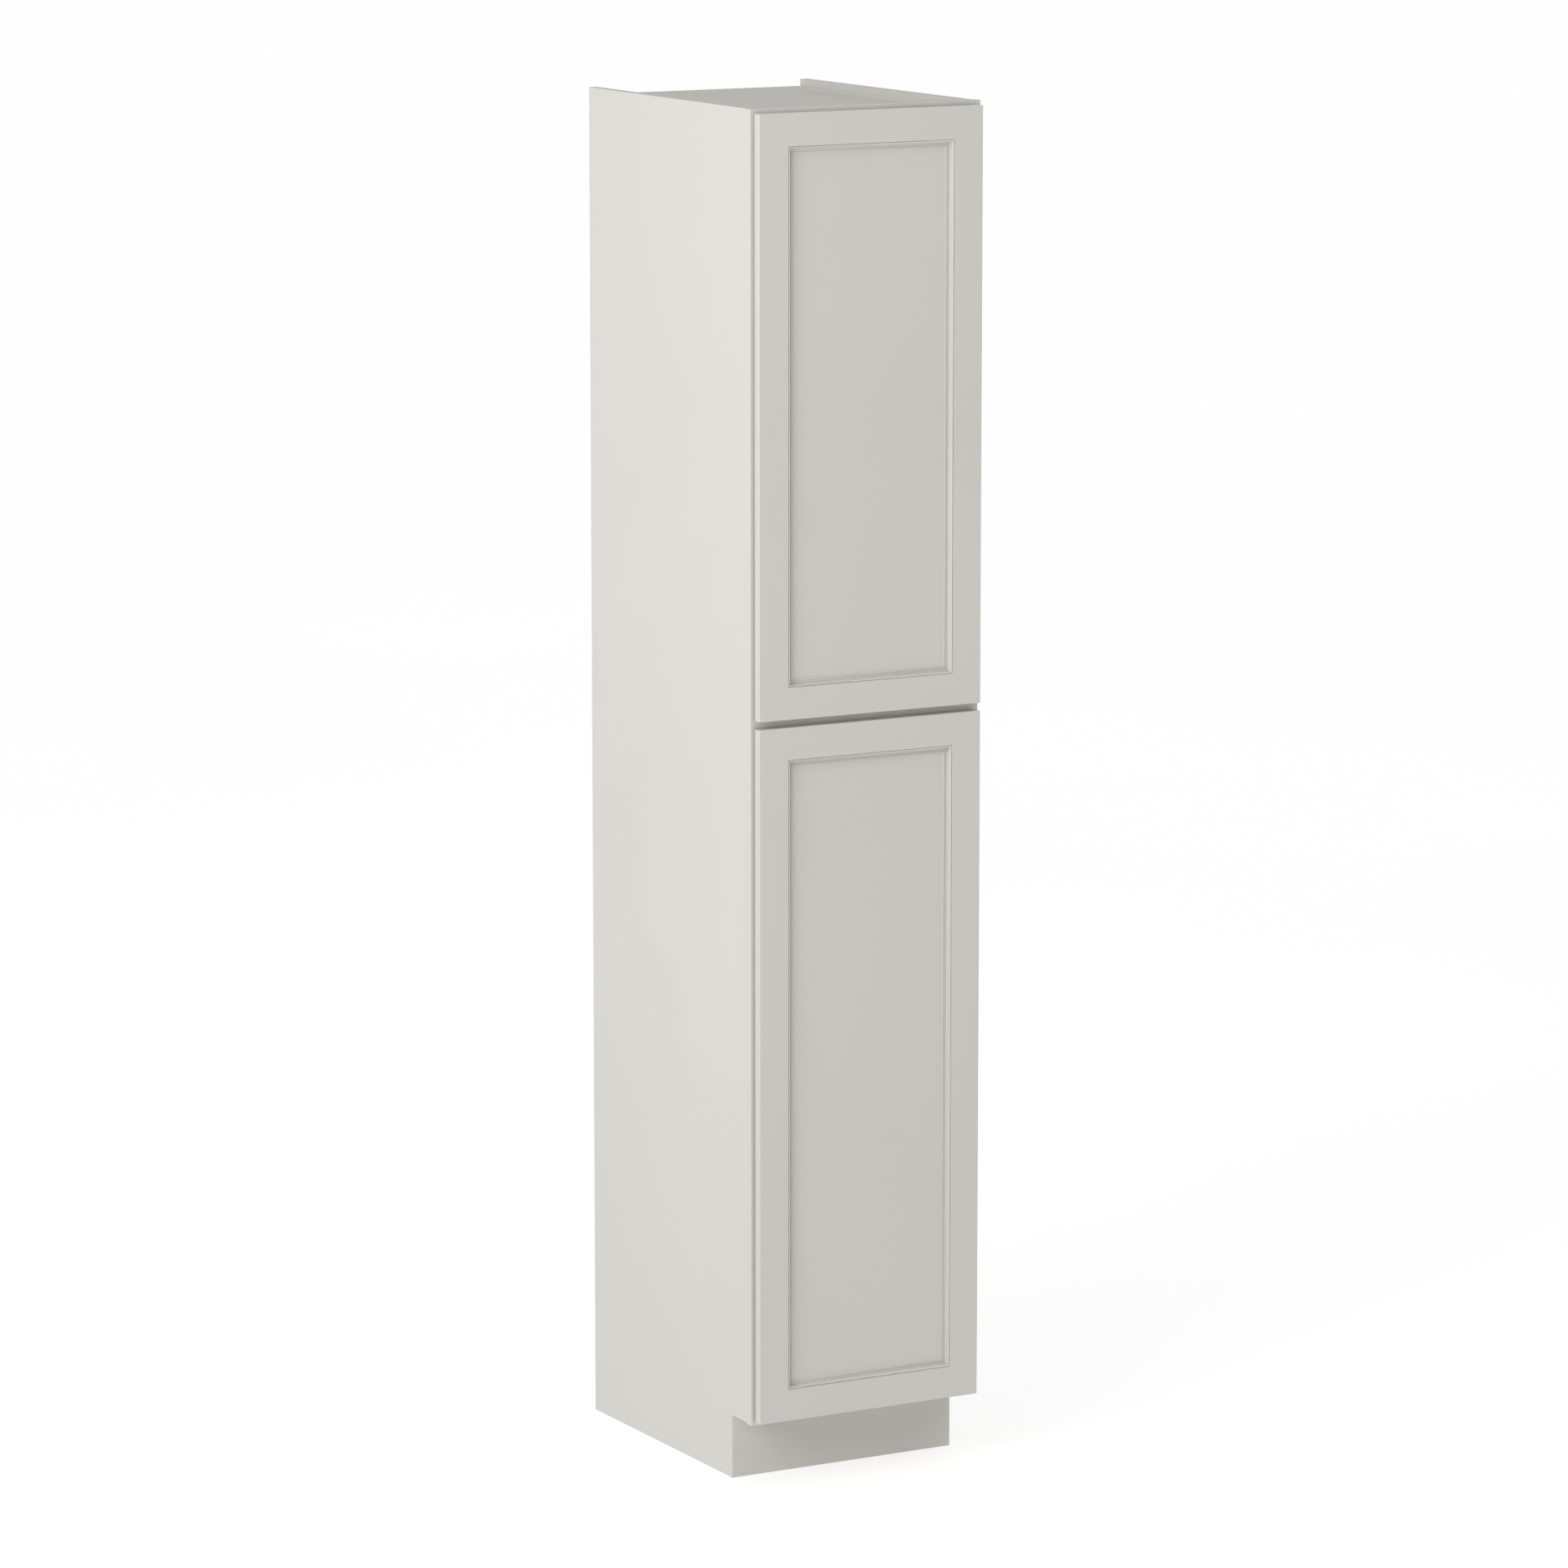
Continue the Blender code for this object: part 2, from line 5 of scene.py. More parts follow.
import bmesh
import bpy
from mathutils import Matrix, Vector


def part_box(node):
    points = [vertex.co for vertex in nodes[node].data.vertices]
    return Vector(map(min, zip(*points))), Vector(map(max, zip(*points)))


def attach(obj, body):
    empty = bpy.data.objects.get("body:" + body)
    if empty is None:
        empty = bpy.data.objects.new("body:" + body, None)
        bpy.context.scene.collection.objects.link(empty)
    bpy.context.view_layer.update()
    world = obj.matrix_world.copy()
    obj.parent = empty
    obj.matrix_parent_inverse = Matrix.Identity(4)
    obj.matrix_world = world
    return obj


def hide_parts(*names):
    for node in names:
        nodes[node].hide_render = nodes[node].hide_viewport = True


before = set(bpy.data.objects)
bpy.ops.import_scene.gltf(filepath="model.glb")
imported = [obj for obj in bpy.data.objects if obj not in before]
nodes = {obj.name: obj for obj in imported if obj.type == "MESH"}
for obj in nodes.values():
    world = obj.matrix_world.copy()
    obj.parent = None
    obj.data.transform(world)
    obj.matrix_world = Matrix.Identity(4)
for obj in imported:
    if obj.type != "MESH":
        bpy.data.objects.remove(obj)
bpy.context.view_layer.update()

FRONT, BACK, UP = (0, -1, 0), (0, 1, 0), (0, 0, 1)


# ---------------------------------------------------------------- measures from the frame


def span(*names):
    """The lowest and highest corners round the named nodes."""
    lows, highs = zip(*(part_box(name) for name in names))
    low = Vector([min(corner[axis] for corner in lows) for axis in range(3)])
    high = Vector([max(corner[axis] for corner in highs) for axis in range(3)])
    return low, high


frame_low, frame_high = span("frame_left_stile", "frame_right_stile")
stile_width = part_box("frame_left_stile")[1].x - frame_low.x
side_low, side_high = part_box("right_side_panel")
side_in = side_low.x
skin_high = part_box("toe_kick_skin")[1]
SHELVES = ["lower_shelf_1", "lower_shelf_2", "lower_shelf_3", "upper_shelf_1", "upper_shelf_2"]
DOORS = ["upper_door", "lower_door"]

# Rows of shelf holes: three at each shelf, with the pins in the middle row.
PIN_DROP = 0.0025
PIN_INSET = 0.060
PIN_PITCH = 0.032
HOLE_RADIUS = 0.0025
HOLE_DEPTH = 0.009
PIN_RADIUS = 0.0022

# Hinge screws: cup screws are set in from the frame's edge, arm screws back from its face.
CUP_SCREW_INSET = 0.0335
CUP_SCREW_SPREAD = 0.024
CUP_SCREW_RADIUS = 0.0031
ARM_SCREW_BACK = 0.010
ARM_SCREW_SPREAD = 0.0105
ARM_SCREW_RADIUS = 0.0033

BORE_ROOM = 0.0003  # air round a hinge cup in its bore
SKIN_GAP = 0.0003  # air between the toe kick's cover and the notch
CUTTER_PAST = 0.01  # how far a cutter reaches past the wood
NEAR = 1e-5  # corners closer than this are in one place
FACE_SLACK = 0.0001  # a face's middle closer than this to the inner face lies on it

# Section of the moulding round a door's panel, in millimetres:
# how far inward from the member, and how far below the door's face.
BEAD_SHOULDER = [
    (-0.2, 1.8), (0.6, 1.8), (0.95, 0.2), (1.2, 0.0), (2.0, 0.0), (2.6, 0.2), (3.1, 0.7), (3.4, 1.4)
]
BEAD_COVE = [(3.6, 2.6), (3.8, 4.4), (4.0, 6.4), (4.3, 8.2), (4.8, 9.2), (5.4, 9.4), (9.3, 8.7)]
BEAD_FILLET = [(9.5, 9.3), (10.0, 9.3), (10.2, 8.6), (12.5, 8.2), (12.9, 8.4)]
BEAD_WIDTH = 13.2
BEAD_SINK = 0.0003

# Light levels of the studio.
FLOOR_GLOW = 0.77
FLOOR_TONE = 0.25
SKY_GLOW = 0.07
HORIZON_GLOW = 0.95
HORIZON_BAND = (0.10, 0.16)
OVERHEAD = 2.4
SOFTBOX_PLACE = (-4.9, -2.5, 3.3)
SOFTBOX_SIZE = 3.0
SOFTBOX_POWER = 196.0

# The camera looks along its bearing, east of north, and down by its drop, both in degrees.
CAMERA_PLACE = (-5.802, -10.498, 3.303)
CAMERA_BEARING = 28.93
CAMERA_DROP = 9.93
CAMERA_LENS = 155.81


# ---------------------------------------------------------------- modelling


def start_block(name, low, high):
    """A block between two corners, with its place in its mesh."""
    bpy.ops.object.select_all(action="DESELECT")
    low, high = Vector(low), Vector(high)
    bpy.ops.mesh.primitive_cube_add(size=1.0, location=(low + high) / 2, scale=high - low)
    return settle(name)


def start_rod(name, middle, radius, depth, sides, turn=(0.0, 0.0, 0.0)):
    """A rod that runs along Z before it is turned."""
    bpy.ops.object.select_all(action="DESELECT")
    bpy.ops.mesh.primitive_cylinder_add(
        vertices=sides, radius=radius, depth=depth, location=middle, rotation=turn
    )
    return settle(name)


def settle(name):
    """Names the active object and moves its place, turn and size into its mesh."""
    piece = bpy.context.active_object
    piece.name = name
    piece.data.name = name
    bpy.ops.object.transform_apply(location=True, rotation=True, scale=True)
    return piece


def activate(piece):
    """Leaves one object selected and active."""
    bpy.ops.object.select_all(action="DESELECT")
    piece.select_set(True)
    bpy.context.view_layer.objects.active = piece


def edit(piece, mode="FACE"):
    """Opens a piece in edit mode with nothing selected."""
    activate(piece)
    bpy.ops.object.mode_set(mode="EDIT")
    bpy.ops.mesh.select_mode(type=mode)
    bpy.ops.mesh.select_all(action="DESELECT")


def leave():
    bpy.ops.object.mode_set(mode="OBJECT")


def pick(piece, kind, wanted):
    """In edit mode, selects only the faces, edges or verts that pass the test."""
    bpy.ops.mesh.select_all(action="DESELECT")
    shape = bmesh.from_edit_mesh(piece.data)
    for item in getattr(shape, kind):
        if wanted(item):
            item.select_set(True)
    bmesh.update_edit_mesh(piece.data)


def pick_largest(piece, directions):
    """In edit mode, selects the largest flat face that looks each way."""
    shape = bmesh.from_edit_mesh(piece.data)
    shape.faces.ensure_lookup_table()
    chosen = []
    for direction in directions:
        facing = [face for face in shape.faces if face.normal.dot(Vector(direction)) > 0.999]
        chosen.append(max(facing, key=lambda face: face.calc_area()).index)
    pick(piece, "faces", lambda face: face.index in chosen)


def apply_step(piece, kind, **settings):
    """Adds one modifier with its settings and applies it."""
    activate(piece)
    bpy.ops.object.modifier_add(type=kind)
    step = piece.modifiers[-1]
    for key, value in settings.items():
        setattr(step, key, value)
    bpy.ops.object.modifier_apply(modifier=step.name)


def ease(piece, width, segments=3):
    """Rounds every sharp edge of a piece."""
    apply_step(
        piece, "BEVEL", width=width, segments=segments, limit_method="ANGLE", angle_limit=math.radians(40)
    )


def cut(piece, *cutters):
    """Takes the cutters' shapes out of a piece and removes the cutters."""
    for cutter in cutters:
        apply_step(piece, "BOOLEAN", operation="DIFFERENCE", solver="EXACT", object=cutter)
        bpy.data.objects.remove(cutter)


def join(pieces, name):
    """Makes one object of several."""
    activate(pieces[0])
    for piece in pieces[1:]:
        piece.select_set(True)
    bpy.ops.object.join()
    made = bpy.context.active_object
    made.name = name
    made.data.name = name
    return made


def copy_to(piece, place, turn=(0.0, 0.0, 0.0)):
    """A copy with its own mesh, turned and moved inside its mesh."""
    twin = piece.copy()
    twin.data = piece.data.copy()
    bpy.context.scene.collection.objects.link(twin)
    twin.rotation_euler = turn
    twin.location = place
    activate(twin)
    bpy.ops.object.transform_apply(location=True, rotation=True, scale=True)
    return twin


def copies(piece, places, name):
    """One object made of copies of a piece, one at each (place, turn); the piece itself goes."""
    made = join([copy_to(piece, *place) for place in places], name)
    bpy.data.objects.remove(piece)
    return made


def smooth(piece, angle=35.0):
    """Rounds the shading over eased edges and keeps broad faces flat."""
    activate(piece)
    bpy.ops.object.shade_smooth_by_angle(angle=math.radians(angle))
    apply_step(piece, "WEIGHTED_NORMAL", keep_sharp=True, weight=80)


def finish_piece(piece, body, looks, replaced=()):
    """Gives a finished piece its look and its body, and hides the nodes it stands for."""
    piece.data.materials.clear()
    for look in looks if isinstance(looks, (list, tuple)) else [looks]:
        piece.data.materials.append(look)
    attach(piece, body)
    if replaced:
        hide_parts(*replaced)
    return piece


# ---------------------------------------------------------------- finishes


class Look:
    """A material with its Principled shader and short calls for adding and joining nodes."""

    def __init__(self, name):
        self.material = bpy.data.materials.new(name)
        self.material.use_nodes = True
        self.tree = self.material.node_tree
        self.shader = self.tree.nodes["Principled BSDF"]
        self.place = self.node("ShaderNodeTexCoord").outputs["Object"]

    def node(self, kind, **settings):
        made = self.tree.nodes.new(kind)
        for key, value in settings.items():
            setattr(made, key, value)
        return made

    def join(self, source, target):
        self.tree.links.new(source, target)

    def stretch(self, scale):
        made = self.node("ShaderNodeMapping")
        made.inputs["Scale"].default_value = scale
        self.join(self.place, made.inputs["Vector"])
        return made.outputs["Vector"]

    def noise(self, vector, scale, detail=2.0, roughness=0.5, distortion=0.0):
        made = self.node("ShaderNodeTexNoise")
        made.inputs["Scale"].default_value = scale
        made.inputs["Detail"].default_value = detail
        made.inputs["Roughness"].default_value = roughness
        made.inputs["Distortion"].default_value = distortion
        self.join(vector, made.inputs["Vector"])
        return made.outputs["Fac"]

    def ramp(self, source, stops):
        made = self.node("ShaderNodeValToRGB")
        marks = made.color_ramp.elements
        while len(marks) < len(stops):
            marks.new(0.5)
        for mark, (position, colour) in zip(marks, stops):
            mark.position = position
            mark.color = (*colour, 1.0)
        self.join(source, made.inputs["Fac"])
        return made.outputs["Color"]

    def between(self, source, low, high):
        made = self.node("ShaderNodeMapRange")
        made.inputs["To Min"].default_value = low
        made.inputs["To Max"].default_value = high
        self.join(source, made.inputs["Value"])
        return made.outputs["Result"]

    def blend(self, factor, first, second, mode="MIX"):
        made = self.node("ShaderNodeMix", data_type="RGBA", blend_type=mode)
        self.join(first, made.inputs["A"])
        self.join(second, made.inputs["B"])
        if isinstance(factor, float):
            made.inputs["Factor"].default_value = factor
        else:
            self.join(factor, made.inputs["Factor"])
        return made.outputs["Result"]

    def bump(self, source, strength, distance, under=None):
        made = self.node("ShaderNodeBump")
        made.inputs["Strength"].default_value = strength
        made.inputs["Distance"].default_value = distance
        self.join(source, made.inputs["Height"])
        if under:
            self.join(under, made.inputs["Normal"])
        return made.outputs["Normal"]


def paint_look(name, colour, roughness=0.36):
    """Sprayed satin paint: nearly even, with a faint cloudiness and a soft orange peel."""
    look = Look(name)
    clouds = look.noise(look.place, 2.2, 3.0, 0.55)
    dark, pale = [part * 0.985 for part in colour], [part * 1.012 for part in colour]
    tones = [(0.30, dark), (0.70, pale)]
    look.join(look.ramp(clouds, tones), look.shader.inputs["Base Color"])
    sheen = look.noise(look.place, 9.0, 4.0, 0.6)
    look.join(look.between(sheen, roughness - 0.03, roughness + 0.05), look.shader.inputs["Roughness"])
    peel = look.noise(look.place, 420.0, 2.0, 0.5)
    waves = look.noise(look.place, 34.0, 2.0, 0.5)
    normal = look.bump(peel, 0.10, 0.0004)
    look.join(look.bump(waves, 0.05, 0.0012, normal), look.shader.inputs["Normal"])
    look.shader.inputs["Specular IOR Level"].default_value = 0.45
    return look.material


def maple_look(name, along, tones, roughness, gloss=0.0):
    """Maple veneer with its grain along one axis: pale figure, fine pores and a slow change of tone."""
    look = Look(name)
    run = {"X": (1.0, 9.0, 9.0), "Z": (9.0, 9.0, 1.0)}[along]
    fine = {"X": (6.0, 160.0, 160.0), "Z": (160.0, 160.0, 6.0)}[along]
    figure = look.noise(look.stretch(run), 1.6, 5.0, 0.62, 0.9)
    streaks = look.noise(look.stretch(fine), 3.0, 3.0, 0.6)
    patches = look.noise(look.place, 1.3, 2.0, 0.5)
    dark, middle, pale = tones
    grain = look.ramp(figure, [(0.30, dark), (0.50, middle), (0.72, pale)])
    lines = look.ramp(streaks, [(0.38, (0.80, 0.76, 0.70)), (0.62, (1.0, 1.0, 1.0))])
    tint = look.ramp(patches, [(0.35, (0.94, 0.92, 0.88)), (0.65, (1.0, 1.0, 1.0))])
    wood = look.blend(0.55, grain, lines, "MULTIPLY")
    look.join(look.blend(1.0, wood, tint, "MULTIPLY"), look.shader.inputs["Base Color"])
    look.join(look.between(streaks, roughness - 0.04, roughness + 0.08), look.shader.inputs["Roughness"])
    look.join(look.bump(streaks, 0.18, 0.0004), look.shader.inputs["Normal"])
    look.shader.inputs["Coat Weight"].default_value = gloss
    look.shader.inputs["Coat Roughness"].default_value = 0.25
    return look.material


def metal_look(name, colour, roughness, brushed):
    """Plated steel: fine brushed lines in the gloss, over a slight unevenness of the plating."""
    look = Look(name)
    lines = look.noise(look.stretch(brushed), 5.0, 4.0, 0.65)
    clouds = look.noise(look.place, 60.0, 2.0, 0.5)
    tones = [(0.30, [part * 0.92 for part in colour]), (0.70, colour)]
    look.join(look.ramp(clouds, tones), look.shader.inputs["Base Color"])
    look.join(look.between(lines, roughness - 0.06, roughness + 0.12), look.shader.inputs["Roughness"])
    look.join(look.bump(lines, 0.12, 0.0002), look.shader.inputs["Normal"])
    look.shader.inputs["Metallic"].default_value = 1.0
    return look.material


def plastic_look(name, colour, roughness, clear=0.0):
    """Moulded plastic with a faintly grained skin; clear lets light through it."""
    look = Look(name)
    skin = look.noise(look.place, 240.0, 2.0, 0.5)
    tones = [(0.35, [part * 0.95 for part in colour]), (0.65, colour)]
    look.join(look.ramp(look.noise(look.place, 24.0), tones), look.shader.inputs["Base Color"])
    look.join(look.between(skin, roughness - 0.05, roughness + 0.07), look.shader.inputs["Roughness"])
    look.join(look.bump(skin, 0.15, 0.0003), look.shader.inputs["Normal"])
    look.shader.inputs["Transmission Weight"].default_value = clear
    look.shader.inputs["IOR"].default_value = 1.45
    return look.material


PAINT_COLOUR = (0.556, 0.549, 0.511)
MAPLE_TONES = ((0.56, 0.40, 0.235), (0.66, 0.49, 0.30), (0.74, 0.57, 0.37))
PLY_TONES = ((0.50, 0.36, 0.21), (0.60, 0.45, 0.28), (0.68, 0.53, 0.35))

paint = paint_look("satin_grey_paint", PAINT_COLOUR)
maple_up = maple_look("maple_grain_upright", "Z", MAPLE_TONES, 0.34, 0.25)
maple_across = maple_look("maple_grain_across", "X", MAPLE_TONES, 0.34, 0.25)
ply_across = maple_look("bare_ply_across", "X", PLY_TONES, 0.62)
ply_up = maple_look("bare_ply_upright", "Z", PLY_TONES, 0.62)
nickel = metal_look("plated_hinge_steel", (0.70, 0.69, 0.66), 0.26, (30.0, 30.0, 240.0))
zinc = metal_look("zinc_screw_steel", (0.66, 0.66, 0.68), 0.32, (160.0, 160.0, 160.0))
nylon = plastic_look("nylon_block", (0.70, 0.66, 0.56), 0.48)
clear_rubber = plastic_look("clear_bumper", (0.90, 0.92, 0.93), 0.18, 0.75)


# ---------------------------------------------------------------- cabinet boards


def drill_columns(side):
    """Rods where the shelf-pin holes go: three rows at each shelf, front and back."""
    drills = []
    for shelf in SHELVES:
        low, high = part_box(shelf)
        for row in (-1, 0, 1):
            height = low.z - PIN_DROP + row * PIN_PITCH
            for depth in (low.y + PIN_INSET, high.y - PIN_INSET):
                middle = (side * side_in, depth, height)
                turn = (0.0, math.pi / 2, 0.0)
                drills.append(start_rod("drill", middle, HOLE_RADIUS, 2 * HOLE_DEPTH, 16, turn))
    return join(drills, "drills")


def side_panel(name, side):
    """A painted side with a toe notch; its inner face is maple and drilled for the shelf pins."""
    low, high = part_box(name)
    panel = start_block(name + "_finished", low, high)
    notch_low = low - Vector((CUTTER_PAST, CUTTER_PAST, CUTTER_PAST))
    notch_high = (high.x + CUTTER_PAST, skin_high.y, skin_high.z + SKIN_GAP)
    cut(panel, start_block("notch_cutter", notch_low, notch_high))
    ease(panel, 0.0005, 2)
    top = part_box("top_panel")[1].z
    edit(panel)
    bpy.ops.mesh.select_all(action="SELECT")
    bpy.ops.mesh.bisect(plane_co=(0.0, 0.0, top), plane_no=UP)
    leave()
    cut(panel, drill_columns(side))
    finish_piece(panel, "cabinet", [paint, maple_up], [name])

    inner = side * side_in
    edit(panel)
    pick(panel, "faces", lambda face: inside_carcass(face, inner, top))
    panel.active_material_index = 1
    bpy.ops.object.material_slot_assign()
    leave()
    smooth(panel)
    return panel


def inside_carcass(face, inner, top):
    """Whether a side panel's face is on its inner face, or in a pin hole, and below the top panel."""
    middle = face.calc_center_median()
    inset = abs(middle.x - inner)
    off_edges = side_low.y + PIN_INSET / 3 < middle.y < side_high.y - PIN_INSET / 3
    in_hole = inset < HOLE_DEPTH + FACE_SLACK and off_edges
    return (inset < FACE_SLACK or in_hole) and 0.001 < middle.z < top


def board(node, looks, width=0.0006, low=None, high=None, segments=3):
    """A flat board with eased edges that stands for one node."""
    corner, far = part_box(node)
    piece = start_block(node + "_finished", low or corner, high or far)
    ease(piece, width, segments)
    smooth(piece)
    return finish_piece(piece, "cabinet", looks, [node])


def between_sides(node):
    """A node's corners, brought in to the sides' inner faces."""
    low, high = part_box(node)
    return Vector((-side_in, low.y, low.z)), Vector((side_in, high.y, high.z))


def cabinet_boards():
    side_panel("left_side_panel", -1)
    side_panel("right_side_panel", 1)
    low, high = between_sides("top_panel")
    board("top_panel", paint, 0.0004, low, high)
    for node in ("bottom_panel", "middle_shelf"):
        low, high = between_sides(node)
        board(node, maple_across, 0.0005, low, high)
    first = board(SHELVES[0], maple_across, 0.0016)
    for node in SHELVES[1:]:
        shelf = copy_to(first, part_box(node)[0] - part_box(SHELVES[0])[0])
        shelf.name = node + "_finished"
        finish_piece(shelf, "cabinet", maple_across, [node])
    board("toe_kick_skin", paint, 0.0003)
    for node in ("top_hanging_rail", "middle_hanging_rail", "bottom_hanging_rail", "toe_kick_board"):
        board(node, ply_across, 0.0006)

    low, high = between_sides("back_panel")
    back = board("back_panel", [maple_up, ply_up], 0.0003, low, high)
    edit(back)
    pick(back, "faces", lambda face: face.normal.y > 0.5)
    back.active_material_index = 1
    bpy.ops.object.material_slot_assign()
    leave()


def face_frame():
    """Stiles and rails under one skin of paint, with both openings cut through and every edge eased."""
    rails = ["frame_bottom_rail", "frame_middle_rail", "frame_top_rail"]
    skin = start_block("face_frame", frame_low, frame_high)
    inner = frame_high.x - stile_width
    for below, above in zip(rails, rails[1:]):
        low = (-inner, frame_low.y - CUTTER_PAST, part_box(below)[1].z)
        high = (inner, frame_high.y + CUTTER_PAST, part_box(above)[0].z)
        cut(skin, start_block("opening_cutter", low, high))
    ease(skin, 0.0008)
    smooth(skin)
    stiles = ["frame_left_stile", "frame_right_stile"]
    finish_piece(skin, "cabinet", paint, [*stiles, *rails])


# ---------------------------------------------------------------- doors


def door_frame(door):
    """Four painted members under one skin of paint, with round outer edges and hinge bores behind."""
    members = [f"{door}_{part}" for part in ("left_stile", "right_stile", "top_rail", "bottom_rail")]
    low, high = span(*members)
    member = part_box(members[0])[1].x - low.x
    outer_round, inner_round = 0.0012, 0.0005
    ring = start_block(f"{door}_frame", low, high)
    edit(ring, "EDGE")
    bpy.ops.mesh.select_all(action="SELECT")
    bpy.ops.mesh.bevel(offset=outer_round, segments=5, affect="EDGES")
    bpy.ops.mesh.select_mode(type="FACE")
    for direction in (FRONT, BACK):
        pick_largest(ring, [direction])
        bpy.ops.mesh.inset(thickness=member - outer_round, depth=0.0, use_even_offset=True)
    inner_low, inner_high = low.x + member, high.x - member
    pick(ring, "faces", lambda face: abs(face.normal.y) > 0.999 and len(face.verts) == 4 and
         all(inner_low - NEAR < vert.co.x < inner_high + NEAR for vert in face.verts))
    bpy.ops.mesh.bridge_edge_loops()
    bpy.ops.mesh.select_mode(type="EDGE")
    pick(ring, "edges", lambda edge: all(
        min(abs(vert.co.x - inner_low), abs(vert.co.x - inner_high)) < NEAR
        or min(abs(vert.co.z - low.z - member), abs(vert.co.z - high.z + member)) < NEAR
        for vert in edge.verts) and abs(edge.verts[0].co.y - edge.verts[1].co.y) < NEAR)
    bpy.ops.mesh.bevel(offset=inner_round, segments=3, affect="EDGES")
    leave()

    bores = []
    for number in (1, 2, 3):
        cup_low, cup_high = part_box(f"{door}_hinge_cup_{number}")
        radius = (cup_high.x - cup_low.x) / 2 + BORE_ROOM
        depth = high.y - cup_low.y + BORE_ROOM
        middle = ((cup_low.x + cup_high.x) / 2, high.y, (cup_low.z + cup_high.z) / 2)
        bores.append(start_rod("bore", middle, radius, 2 * depth, 48, (math.pi / 2, 0.0, 0.0)))
    cut(ring, join(bores, "bores"))
    smooth(ring)
    return finish_piece(ring, door, paint, members)


def bead_section(recess):
    """The moulding's section in metres: quirk, shoulder, cove, low fillet and the drop to the panel."""
    points = [*BEAD_SHOULDER, *BEAD_COVE, *BEAD_FILLET, (BEAD_WIDTH, recess * 1000)]
    return [(inward / 1000, depth / 1000) for inward, depth in points]


def door_bead(door):
    """The moulding between the members and the panel, stepped inward so its corners are mitred."""
    beads = [f"{door}_{part}_bead" for part in ("left", "right", "top", "bottom")]
    left_low, left_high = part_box(f"{door}_left_stile")
    rail_low, rail_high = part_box(f"{door}_bottom_rail")[1].z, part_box(f"{door}_top_rail")[0].z
    panel_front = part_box(f"{door}_panel")[0].y
    section = bead_section(panel_front - left_low.y)
    start, sunk = section[0]
    low = (left_high.x + start, left_low.y + sunk, rail_low + start)
    high = (-left_high.x - start, panel_front + BEAD_SINK, rail_high - start)
    ring = start_block(f"{door}_bead", low, high)
    edit(ring)
    pick_largest(ring, [FRONT])
    for (inward, depth), (next_inward, next_depth) in zip(section, section[1:]):
        width, rise = next_inward - inward, depth - next_depth
        bpy.ops.mesh.inset(thickness=width, depth=rise, use_even_offset=True)
    pick_largest(ring, [BACK])
    bpy.ops.mesh.inset(thickness=section[-1][0] - start, depth=0.0, use_even_offset=True)
    inner = -left_high.x - section[-1][0] + NEAR
    pick(ring, "faces", lambda face: abs(face.normal.y) > 0.999 and
         all(abs(vert.co.x) < inner for vert in face.verts))
    bpy.ops.mesh.bridge_edge_loops()
    leave()
    smooth(ring, 32.0)
    return finish_piece(ring, door, paint, beads)


def door_panel(door):
    """The flat panel, let into the members all round."""
    node = f"{door}_panel"
    low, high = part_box(node)
    panel = start_block(node + "_finished", low, high)
    ease(panel, 0.0008, 2)
    smooth(panel)
    return finish_piece(panel, door, paint, [node])


# ---------------------------------------------------------------- hardware


def bumpers(door):
    """Two clear half-round dots behind the free corners of a door."""
    low, high = span(f"{door}_left_stile")
    inset, radius, thick, gap = 0.016, 0.005, 0.0019, 0.0002
    dot = start_rod("dot", (0, 0, thick / 2), radius, thick, 28)
    edit(dot, "EDGE")
    pick(dot, "edges", lambda edge: all(vert.co.z > thick - NEAR for vert in edge.verts))
    bpy.ops.mesh.bevel(offset=0.0012, segments=5, affect="EDGES")
    leave()
    turn = (-math.pi / 2, 0.0, 0.0)
    heights = (low.z + inset, high.z - inset)
    corners = [((low.x + inset, high.y + gap, height), turn) for height in heights]
    made = copies(dot, corners, f"{door}_bumpers")
    smooth(made, 50.0)
    finish_piece(made, door, clear_rubber)


def screw(radius):
    """A pan-head screw with a cross recess, its head up."""
    thick, slot_depth = 0.0014, 0.0009
    head = start_rod("screw", (0, 0, 0), radius, thick, 24)
    edit(head, "EDGE")
    pick(head, "edges", lambda edge: all(vert.co.z > thick / 2 - NEAR for vert in edge.verts))
    bpy.ops.mesh.bevel(offset=0.0007, segments=4, affect="EDGES")
    leave()
    middle = Vector((0, 0, slot_depth))
    for across, along in ((0.42, 0.13), (0.13, 0.42)):
        half = Vector((across * radius, along * radius, slot_depth))
        cut(head, start_block("slot_cutter", middle - half, middle + half))
    shank = start_rod("shank", (0, 0, -0.0045), radius * 0.5, 0.0085, 12)
    made = join([head, shank], "screw")
    smooth(made, 40.0)
    return made


def hinge_screws(door):
    """Two screws through each cup's flange into the door and two through each arm into the stile."""
    cup_spots, arm_spots = [], []
    for number in (1, 2, 3):
        low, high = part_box(f"{door}_hinge_cup_{number}")
        middle = (low.z + high.z) / 2
        for step in (-1, 1):
            spot = (frame_high.x - CUP_SCREW_INSET, high.y - 0.0001, middle + step * CUP_SCREW_SPREAD)
            cup_spots.append((spot, (-math.pi / 2, 0.0, 0.0)))
        low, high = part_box(f"{door}_hinge_arm_{number}")
        for step in (-1, 1):
            spot = (low.x - 0.0004, frame_low.y + ARM_SCREW_BACK, middle + step * ARM_SCREW_SPREAD)
            arm_spots.append((spot, (0.0, -math.pi / 2, 0.0)))
    cup_screws = copies(screw(CUP_SCREW_RADIUS), cup_spots, f"{door}_cup_screws")
    arm_screws = copies(screw(ARM_SCREW_RADIUS), arm_spots, f"{door}_arm_screws")
    finish_piece(cup_screws, door, zinc)
    finish_piece(arm_screws, "cabinet", zinc)


